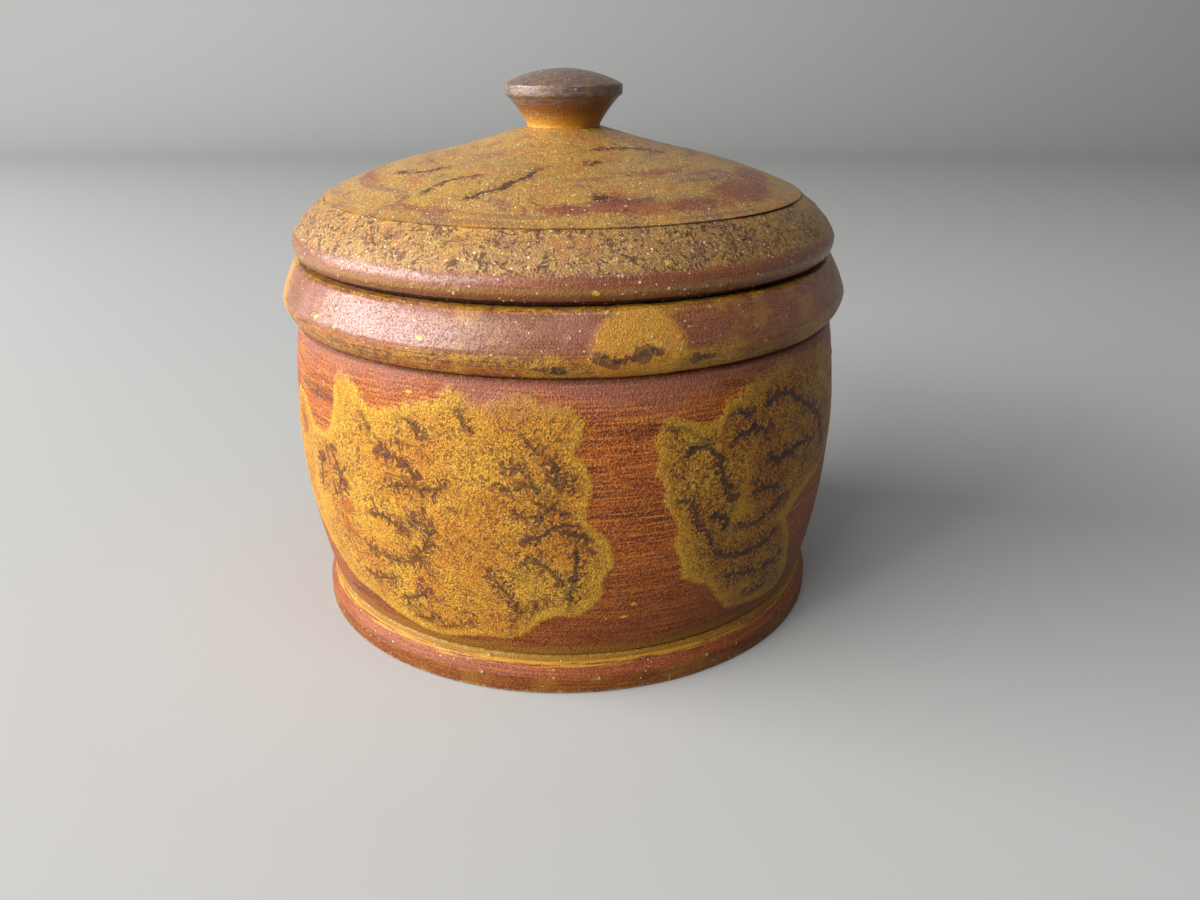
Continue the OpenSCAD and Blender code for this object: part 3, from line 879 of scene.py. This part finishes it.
fine = use(tree, feathering, {"Place": place, "Cell": 3.2, "Reach": 1.7, "Teeth": 1.9})
to_right = fade(tree, put(tree, "SeparateXYZ", {0: place}).outputs[0], BOLD_FROM_X, BOLD_FULL_X)
rib_width = added(tree, to_right, 0.5, 0.4)
# Towards the left the ribs are thinner and their dark cores fainter; the fainter cores are partly painted
# light, on the side the lamp lights.
cores_fainter_where_lit = added(tree, to_right, 0.35, 0.6)
bold = use(tree, ribs_drawn, {"Place": place, "Teeth": 1.7, "Blobs": 0.45, "Width": rib_width})
crowded = fade(tree, cloudy(tree, place, 0.11, 2), 0.32, 0.46)
finer = times(tree, fine["Mark"], times(tree, crowded, 0.7))
marks = calc(tree, "MAXIMUM", bold["Mark"], finer)
marks = times(tree, marks, within)
cores = calc(tree, "MAXIMUM", bold["Core"], times(tree, fine["Core"], 0.5))
cores = times(tree, cores, times(tree, within, cores_fainter_where_lit))
pepper = times(tree, crowded, added(tree, to_right, -0.24, -0.02))
peppered = calc(tree, "ADD", pepper, grain["Chance"])
peppered = times(tree, part_of(tree, peppered, 0.04, -0.06, 0.75), within)
dab = over(tree, peppered, dab, MAROON)
dab = marked(tree, place, dab, marks, cores)
colour = over(tree, on_cloud, ground, dab)
colour = over(tree, high_up, colour, PLUM_HAZE)
# A dark brown band just under the rim band: the seam's own dark line, and painted shade under the rim's
# overhang.
colour = over(tree, part_of(tree, turn["Up"], SEAM_FROM_Z, SEAM_FULL_Z, 0.8), colour, SEAM_SHADE_BROWN)
rough_paint = added(tree, on_cloud, 0.06, 0.24)
relief = added(tree, lines["Ridge"], 0.08, times(tree, grain["Height"], rough_paint))
relief = added(tree, marks, 0.04, relief)
old_paint(tree, shader, turn, colour, relief, WALL_WORN, LOG_GRAIN, worn_share=0.4, speck_size=0.2,
          varnish=0.14, satin=0.44, sheen=0.26)
wall.ob.data.materials.append(wall_paint)
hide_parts("barrel_wall")
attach(wall.ob, "canister")

# Rim band: a wooden hoop, turned with two slopes that meet in an edge, glued over the wall's tongue.
# The edge is rubbed round. The upper slope is rust with plum haze and a few mustard dabs, and the
# lower slope is crumbly olive ochre.
RIM_PAINT_R = 53
RIM_EDGE_Z = 70
RIM_TOP_Z = 76
RIM_SHADE_R = 54.9
RIM_FLECKS = [(-49, 71.3, 0.8, 0.5, 20), (-23, 71.6, 0.9, 0.5, -10)]
RIM_DABS = [(14, 70, 8.5, 1), (-76, 72, 9, 0.3), (84, 70, 8, 1), (148, 70, 8, 1), (-126, 70, 8.5, 1)]
RIM_RIBS = [[(7, 69), (11, 69), (17, 70)], [(-3, 67), (1, 67)], [(24, 68), (27, 68)]]
rim = turned("rim_band_turned", section("rim_band"), columns=720, spacing=0.35,
             paint_from=RIM_PAINT_R, oval=CANISTER_OVAL)
rim_spread = np.stack([rim.angle, RIM_EDGE_Z + (rim.height - RIM_EDGE_Z) * 1.1], 1)
rim_cloud = np.max([
    crisp * (size - np.hypot(*(rim_spread - (angle, height)).T)) for angle, height, size, crisp in RIM_DABS
], axis=0)
mark(rim, "cloud", np.clip(rim_cloud, -9, 9))
# Painted shade: the rim's flat top under the lid's lip is marked hollow inward from this radius, so it
# darkens where the gap lies in shade.
under_lid_shade = (rim.height > RIM_TOP_Z) & (rim.normal[:, 2] > 0.8)
mark(rim, "hollow", np.maximum(rim.hollow, under_lid_shade * np.clip((RIM_SHADE_R - rim.radius) / 0.8, 0, 1)))
ribbed(rim, rim_spread, RIM_RIBS, 4)
rim_thick = rim.painted * CLOUD_THICK * laid_on(rim_cloud)
rim_crumbs = 0.035 + 0.08 * np.exp(-((rim.height - RIM_EDGE_Z + 0.8) / 1.4) ** 2)
rim_rough = rim.painted * rim_crumbs * lumps(rim.place, size=0.9)
rim_chips = chipped(rim, seed=21, count=34, depth=0.4, low=68, high=78)
rim_nibs = nibs(rim, seed=22, count=110, low=66, high=77)
press(rim, uneven(rim) + rim_rough + rim_thick + rim_chips + rim_nibs + flecked(rim, RIM_FLECKS))

RIM_BROWN = paint(114, 62, 32)
RIM_OLIVE = paint(186, 132, 48)
RIM_WORN = paint(178, 146, 82)
rim_paint, tree, shader, turn, grain, lines = first_coat("rim_paint")
place = turn["Place"]
ground = rust_ground(tree, grain, lines)
smoke = cloudy(tree, place, 0.07, 4, 0.6)
upper = over(tree, 0.65, ground, RIM_BROWN)
upper = over(tree, part_of(tree, smoke, 0.5, 0.64, 0.5), upper, PLUM_HAZE)
upper = over(tree, part_of(tree, smoke, 0.52, 0.38, 0.6), upper, RIM_OLIVE)
crumbs = cloudy(tree, place, 0.8, 4, 0.7)
crumbly_top = added(tree, crumbs, 5, turn["Up"])
crumbled = part_of(tree, crumbly_top, RIM_TOP_Z + 2.9, RIM_TOP_Z + 4.1, 0.8)
upper = over(tree, crumbled, upper, dabbed(tree, grain))
streaked = times(tree, calc(tree, "ADD", crumbs, lines["Streak"]), 0.5)
lower = over(tree, fade(tree, streaked, 0.42, 0.56), RIM_BROWN, RIM_OLIVE)
lower = over(tree, part_of(tree, lines["Band"], 0.48, 0.6, 0.5), lower, RUST)
lower = over(tree, part_of(tree, smoke, 0.55, 0.42, 0.55), lower, dabbed(tree, grain))
lower = over(tree, part_of(tree, grain["Chance"], 0.3, 0.1, 0.6), lower, RIM_BROWN)
below = fade(tree, added(tree, crumbs, 2.2, turn["Up"]), RIM_EDGE_Z + 1.4, RIM_EDGE_Z + 0.6)
colour = over(tree, below, upper, lower)
ragged = astray(tree, place, 0.9, 4, 0.65)
on_dab = fade(tree, added(tree, ragged, 3.0, told(tree, "cloud")), -0.8, 1.4)
dab = over(tree, part_of(tree, smoke, 0.4, 0.65, 0.7), dabbed(tree, grain), OCHRE)
colour = over(tree, times(tree, on_dab, 0.75), colour, dab)
smear = use(tree, ribs_drawn, {"Place": place, "Reach": 1.0, "Teeth": 0.8, "Blobs": 0.2})
colour = marked(tree, place, colour, smear["Mark"], times(tree, smear["Core"], 0.7))
relief = added(tree, grain["Height"], 0.17, times(tree, lines["Ridge"], 0.05))
rim_gloss = added(tree, below, -0.75, 1)
old_paint(tree, shader, turn, colour, relief, RIM_WORN, worn_share=0.55, varnish=rim_gloss)
rim.ob.data.materials.append(rim_paint)
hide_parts("rim_band")
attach(rim.ob, "canister")

# Lid ring: a hoop of bare turned wood, glued under the lid board.
# It drops into the mouth with a little room to spare and keeps the lid in place.
LID_OVAL = (0.0012, 2.0)
UNPAINTED_R = FAR * 2
ring = turned("lid_ring_turned", section("lid_ring"), columns=480, spacing=0.6,
              paint_from=UNPAINTED_R, oval=LID_OVAL)
bare_wood, tree, shader = finish("bare_wood")
turn = use(tree, turning)
bare = use(tree, wood, {"Place": turn["Place"]})
lines = use(tree, brushing, {"Sweep": turn["Sweep"]})
tree.links.new(bare["Color"], shader["Base Color"])
shader["Roughness"].default_value = 0.7
relief = added(tree, bare["Height"], 0.06, times(tree, lines["Ridge"], 0.06))
bump = put(tree, "Bump", {"Height": relief, "Distance": RELIEF * MM})
tree.links.new(bump.outputs[0], shader["Normal"])
ring.ob.data.materials.append(bare_wood)
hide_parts("lid_ring")
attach(ring.ob, "lid")

# Lid board: a turned disc with a full round lip and a sloping band above it, hollowed underneath.
# The lip is rust over ochre, and the band is gritty olive and mustard with plum and brown in it.
BOARD_PAINT_R = 49
LIP_TOP_Z = 82.6
LIP_LOW_Z = 80.2
SEAM_FILL = 0.22
SEAM_FILL_WIDE = 0.55
FILLED_TO, FILLED_FROM = 44, -72
FILL_FADES_RIGHT, FILL_FADES_LEFT = 8, 12
LID_FLECKS = [(7, 79.8, 0.9, 0.5, -30), (20, 84, 0.6, 0.4, 0)]
SEAM_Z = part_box("lid_crown")[0].z / MM
board = turned("lid_board_turned", section("lid_board"), columns=720, spacing=0.35,
               paint_from=BOARD_PAINT_R, oval=LID_OVAL, tight_z=SEAM_Z)
near_seam = board.height > SEAM_Z - 2
# Painted shade: the lip's underside is marked hollow so it darkens, where the gap under the lid lies in
# shade.
lip_under_shade = (board.height < LIP_LOW_Z) & (board.normal[:, 2] < -0.7)
mark(board, "edge", np.where(near_seam, 0, board.edge))
mark(board, "hollow", np.where(lip_under_shade, 1, np.where(near_seam, 0, board.hollow)))


def seam_filled(piece):
    """Paint that fills the seam under the crown, in front and to the left."""
    closed = np.clip((FILLED_TO - piece.angle) / FILL_FADES_RIGHT, 0, 1)
    closed = closed * np.clip((piece.angle - FILLED_FROM) / FILL_FADES_LEFT, 0, 1)
    return SEAM_FILL * (closed * np.exp(-((piece.height - SEAM_Z) / SEAM_FILL_WIDE) ** 2))


lid_chips = chipped(board, seed=31, count=30, depth=0.3, low=77.5, high=84)
lid_nibs = nibs(board, seed=32, count=130, low=79, high=88, rise=0.15)
press(board, uneven(board, broad=0.05, small=0.05) + seam_filled(board) + lid_chips + lid_nibs
      + flecked(board, LID_FLECKS))

LIP_RUST = paint(130, 72, 40)
LIP_UNDER = paint(124, 62, 18)
LID_WORN = paint(190, 150, 74)
LID_SAND = paint(208, 164, 84)
LID_OLIVE = paint(168, 126, 56)
LID_PLUM = paint(126, 84, 78)
LID_ORANGE = paint(184, 110, 54)
LID_YELLOW = paint(204, 158, 50)
BAND_BROWN = paint(150, 108, 72)


def gritty(tree, turn, grain):
    """Olive and mustard grains with patches of orange, and more plum grains below the crown than on it."""
    patches = cloudy(tree, turn["Place"], 0.2, 4, 0.6)
    below = fade(tree, added(tree, patches, 8, turn["Up"]), SEAM_Z + 6, SEAM_Z + 2)
    colour = over(tree, grain["Light"], LID_OLIVE, LID_SAND)
    colour = over(tree, part_of(tree, patches, 0.5, 0.62, 0.6), colour, LID_ORANGE)
    tinted = cloudy(tree, turn["Place"], 0.13, 4, 0.65)
    colour = over(tree, part_of(tree, tinted, 0.54, 0.68, 0.6), colour, LID_PLUM)
    colour = over(tree, part_of(tree, tinted, 0.46, 0.34, 0.6), colour, LID_YELLOW)
    scattered = added(tree, patches, 0.5, grain["Chance"])
    strewn = added(tree, below, -0.18, scattered)
    colour = over(tree, part_of(tree, strewn, 0.45, 0.25, 0.65), colour, LID_PLUM)
    colour = over(tree, part_of(tree, strewn, 0.2, 0.12, 0.6), colour, MAROON)
    colour = over(tree, part_of(tree, grain["Chance"], 0.88, 0.98, 0.6), colour, MUSTARD_PALE)
    return over(tree, times(tree, below, 0.3), colour, BAND_BROWN), patches


lid_paint, tree, shader, turn, grain, lines = first_coat("lid_paint")
place = turn["Place"]
ground = rust_ground(tree, grain, lines)
band, patches = gritty(tree, turn, grain)
squiggle = use(tree, feathering, {"Place": place, "Cell": 3.4, "Reach": 1.4, "Teeth": 1.3})
squiggled = times(tree, squiggle["Mark"], part_of(tree, patches, 0.62, 0.5, 0.9))
band = marked(tree, place, band, squiggled, times(tree, squiggle["Core"], 0.6))
lip = over(tree, 0.7, ground, LIP_RUST)
waver = added(tree, calc(tree, "SUBTRACT", grain["Light"], 0.5), 0.6, turn["Up"])
lip = over(tree, part_of(tree, waver, LIP_LOW_Z + 0.4, LIP_LOW_Z - 0.1, 0.8), lip, OLIVE)
lip = over(tree, part_of(tree, waver, LIP_LOW_Z - 0.5, LIP_LOW_Z - 0.9, 0.9), lip, LIP_UNDER)
on_lip = fade(tree, waver, LIP_TOP_Z + 0.4, LIP_TOP_Z - 0.1)
colour = over(tree, on_lip, band, lip)
relief = added(tree, grain["Height"], 0.14, times(tree, squiggled, 0.05))
lip_gloss = added(tree, on_lip, 0.7, 0.3)
old_paint(tree, shader, turn, colour, relief, LID_WORN, worn_share=0.35, speck_size=0.4, varnish=lip_gloss)
board.ob.data.materials.append(lid_paint)
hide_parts("lid_board")
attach(board.ob, "lid")

# Crown: a domed disc glued on the lid board, full at its edge and hollow towards the knob.
# Mustard covers most of it, with streaks of the rust ground left bare and a few dark veins.
CROWN_GAPS = [
    (-34, 46.5, 4.5, 0.9), (3, 45, 6, 1.6), (16, 44, 7, 2.6), (33, 45, 9, 1.8), (55, 43, 10, 4),
    (36, 32, 6, 1.3), (14, 41, 3, 1.2), (75, 40, 8, 3), (-75, 41, 9, 1.4), (120, 43, 16, 1.8),
    (160, 37, 14, 1.2), (-160, 44, 20, 1.6), (-112, 39, 14, 1), (-132, 26, 9, 0.8),
    (100, 27, 9, 0.8), (-175, 22, 8, 0.8),
]
CROWN_PAINT_R = 6
SEAM_OPEN = 0.35
CROWN_SKIRT_R = 49
CROWN_VEINS = [
    [(-23, 42), (-17, 38), (-13, 35), (-8, 29)], [(-37, 41), (-36, 38), (-33, 35), (-27, 33)],
    [(23, 19), (45, 19), (62, 23)], [(-62, 36), (-52, 34), (-45, 30)], [(10, 41), (13, 41)],
    [(13, 26), (17, 25)], [(95, 38), (105, 34), (112, 36)], [(150, 25), (165, 28)],
    [(-120, 34), (-108, 30), (-100, 32)], [(-165, 40), (-155, 37)],
]
crown = turned("lid_crown_turned", section("lid_crown"), columns=720, spacing=0.55,
               paint_from=CROWN_PAINT_R, oval=LID_OVAL, tight_z=SEAM_Z)
crown_cloud = np.full(len(crown.angle), 9.0)
for angle, radius, half_l, half_w in CROWN_GAPS:
    aside = np.radians(round_from(crown, angle)) * crown.radius
    beyond = np.hypot(aside / half_l, (crown.radius - radius) / half_w) - 1
    crown_cloud = np.minimum(crown_cloud, beyond * half_w)
mark(crown, "cloud", np.clip(crown_cloud, -9, 9))


def on_lid(angle, radius):
    """A point on the lid seen from above, from its angle and radius."""
    return radius * math.sin(math.radians(angle)), -radius * math.cos(math.radians(angle))


veins = [[on_lid(*point) for point in vein] for vein in CROWN_VEINS]
ribbed(crown, crown.place[:, :2], veins, 6)
opened = np.maximum(np.clip((crown.angle - 36) / 8, 0, 1), np.clip((-60 - crown.angle) / 12, 0, 0.6))
opened = opened * np.exp(-((crown.height - SEAM_Z) / SEAM_OPEN) ** 2)
mark(crown, "hollow", np.where(crown.height < SEAM_Z + 1.5, opened, crown.hollow))
crown_fill = seam_filled(crown) * (crown.radius > CROWN_SKIRT_R)
crown_nibs = nibs(crown, seed=42, count=90, low=90, high=101, rise=0.1)
press(crown, uneven(crown, broad=0.05, small=0.05) - crown.painted * SEAM_OPEN * opened + crown_fill
      + crown_nibs)

crown_paint, tree, shader, turn, grain, lines = first_coat("crown_paint")
place = turn["Place"]
ground = rust_ground(tree, grain, lines)
cover, patches = gritty(tree, turn, grain)
cover = over(tree, part_of(tree, lines["Streak"], 0.52, 0.64, 0.6), cover, LID_ORANGE)
cover = over(tree, part_of(tree, lines["Band"], 0.46, 0.32, 0.5), cover, LID_PLUM)
ragged = astray(tree, place, 0.6, 5, 0.7)
on_cover = fade(tree, added(tree, ragged, 6.0, told(tree, "cloud")), -1.0, 1.2)
bared = over(tree, part_of(tree, grain["Light"], 0.7, 0.2, 0.7), over(tree, 0.4, ground, RIM_BROWN), LID_PLUM)
colour = over(tree, on_cover, bared, cover)
squiggle = use(tree, feathering, {"Place": place, "Cell": 3.2, "Reach": 1.0, "Teeth": 2.0})
vein = use(tree, ribs_drawn, {"Place": place, "Reach": 2.4, "Teeth": 2.0, "Blobs": 0.3, "Width": 0.9})
squiggled = times(tree, squiggle["Mark"], part_of(tree, patches, 0.5, 0.36, 0.7))
veined = times(tree, vein["Mark"], 0.8)
vein_core = times(tree, vein["Core"], 0.85)
colour = marked(tree, place, colour, calc(tree, "MAXIMUM", squiggled, veined), vein_core)
relief = added(tree, grain["Height"], 0.16, times(tree, lines["Ridge"], 0.05))
old_paint(tree, shader, turn, colour, relief, LID_WORN, worn_share=0, speck_size=0.4)
crown.ob.data.materials.append(crown_paint)
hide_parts("lid_crown")
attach(crown.ob, "lid")

# Knob: turned with a flared neck, a thin edge and a low dome, its tenon split and wedged under the lid.
# Handling has left its top dark, and its greyish brown is partly painted sheen; the flare runs from brown to
# yellow at the waist.
knob_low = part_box("knob")[0]
TENON_R = 4
knob_seat_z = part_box("lid_crown")[1].z / MM
knob_outline = section("knob")
solid = (knob_outline[:, 0] > TENON_R) | (knob_outline[:, 1] > knob_seat_z)
knob_outline = np.concatenate([[(0, knob_low.z / MM)], knob_outline[solid]])
knob = turned("knob_turned", knob_outline, columns=300, spacing=0.22, paint_from=0, oval=LID_OVAL)
knob_chips = chipped(knob, seed=51, count=5, depth=0.15, low=107, high=112)
press(knob, uneven(knob, broad=0.03, small=0.02) + knob_chips)
cut_away(knob.ob, merged("knob_wedge"))

UMBER_AND_SHEEN = paint(128, 104, 90)
UMBER_DEEP_AND_SHEEN = paint(90, 66, 54)
KNOB_BROWN = paint(116, 72, 30)
KNOB_YELLOW = paint(206, 146, 40)
KNOB_WORN = paint(164, 132, 112)
FLARE_LOW_Z, FLARE_HIGH_Z = 102.0, 106.0
knob_paint, tree, shader, turn, grain, lines = first_coat("knob_paint")
place = turn["Place"]
wavering = added(tree, calc(tree, "SUBTRACT", grain["Light"], 0.5), 1.2, turn["Up"])
flare = over(tree, fade(tree, wavering, FLARE_LOW_Z, FLARE_HIGH_Z), KNOB_YELLOW, KNOB_BROWN)
flare = over(tree, part_of(tree, lines["Streak"], 0.5, 0.66, 0.4), flare, RUST)
# The top's greyish browns are partly painted sheen.
top = over(tree, fade(tree, lines["Streak"], 0.36, 0.64), UMBER_DEEP_AND_SHEEN, UMBER_AND_SHEEN)
top = over(tree, part_of(tree, cloudy(tree, place, 0.5, 4), 0.5, 0.7, 0.35), top, OLIVE)
colour = over(tree, fade(tree, turn["Up"], FLARE_HIGH_Z + 0.5, FLARE_HIGH_Z + 1.3), flare, top)
relief = added(tree, grain["Height"], 0.08, times(tree, lines["Ridge"], 0.06))
old_paint(tree, shader, turn, colour, relief, KNOB_WORN, worn_share=0.5, varnish=0.8)
knob.ob.data.materials.append(knob_paint)
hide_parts("knob")
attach(knob.ob, "lid")

# Knob wedge: a sliver of hard pale wood, driven up into the knob's split tenon from under the lid.
# It spreads the tenon in its hole, and is trimmed flush and left bare.
WEDGE_PALE = paint(214, 184, 132)
WEDGE_DARK = paint(160, 122, 76)
refinish("knob_wedge", split_wood("wedge_wood", WEDGE_PALE, WEDGE_DARK, roughness=0.6))

# Floor and light: a pale paper sweep under and behind the canister, a large soft light to the left,
# and two weak ones. The air is pale where it is looked at and gives only a weak light all round.
FLOOR = paint(190, 190, 188)
FLOOR_BOUNCE = paint(140, 140, 140)
AIR = paint(150, 150, 150)
AIR_LIGHT = paint(60, 61, 63)
scene.view_settings.view_transform = "Standard"
world = bpy.data.worlds.new("studio")
world.use_nodes = True
scene.world = world


def looked_at(tree):
    """1 for rays that look at the studio, straight or in a reflection, and 0 for its light."""
    ray = put(tree, "LightPath").outputs
    seen = calc(tree, "MAXIMUM", ray["Is Camera Ray"], ray["Is Glossy Ray"])
    return calc(tree, "MAXIMUM", seen, ray["Is Transmission Ray"])


tree = world.node_tree
air = over(tree, looked_at(tree), AIR_LIGHT, AIR)
tree.links.new(air, tree.nodes["Background"].inputs["Color"])

SWEEP_HALF_W = 2.0
SWEEP_FRONT, SWEEP_BACK = -1.2, 0.9
SWEEP_BEND = 0.5
SWEEP_TOP = 1.6
bend = [
    (SWEEP_BACK + SWEEP_BEND * math.sin(t), SWEEP_BEND * (1 - math.cos(t)))
    for t in np.linspace(0, math.pi / 2, 25)
]
sweep_line = [(SWEEP_FRONT, 0.0), *bend, (SWEEP_BACK + SWEEP_BEND, SWEEP_TOP)]
sweep_points = [(x, y, z) for y, z in sweep_line for x in (-SWEEP_HALF_W, SWEEP_HALF_W)]
sweep_faces = [(2 * i, 2 * i + 1, 2 * i + 3, 2 * i + 2) for i in range(len(sweep_line) - 1)]
sweep_mesh = bpy.data.meshes.new("sweep")
sweep_mesh.from_pydata(sweep_points, [], sweep_faces)
sweep_mesh.polygons.foreach_set("use_smooth", [True] * len(sweep_faces))
sweep = bpy.data.objects.new("sweep", sweep_mesh)
scene.collection.objects.link(sweep)
sweep_paper, tree, shader = finish("sweep_paper")
tree.links.new(over(tree, looked_at(tree), FLOOR_BOUNCE, FLOOR), shader["Base Color"])
shader["Roughness"].default_value = 0.9
sweep_mesh.materials.append(sweep_paper)

AIM = Vector((0, 0, 0.06))


def lamp(name, toward, far, wide, high, power):
    """A soft light panel, aimed at the canister."""
    made = bpy.data.objects.new(name, bpy.data.lights.new(name, "AREA"))
    made.data.shape = "RECTANGLE"
    made.data.size, made.data.size_y = wide, high
    made.data.energy = power
    made.location = AIM + Vector(toward).normalized() * far
    made.rotation_euler = (AIM - made.location).to_track_quat("-Z", "Y").to_euler()
    scene.collection.objects.link(made)


lamp("window", toward=(-0.885, -0.254, 0.3), far=1.3, wide=1.6, high=0.75, power=42)
lamp("front_pane", toward=(-0.47, -0.73, 0.5), far=1.3, wide=0.5, high=0.36, power=4.2)
lamp("ceiling", toward=(0.1, -0.3, 1), far=1.1, wide=0.8, high=0.8, power=2.8)
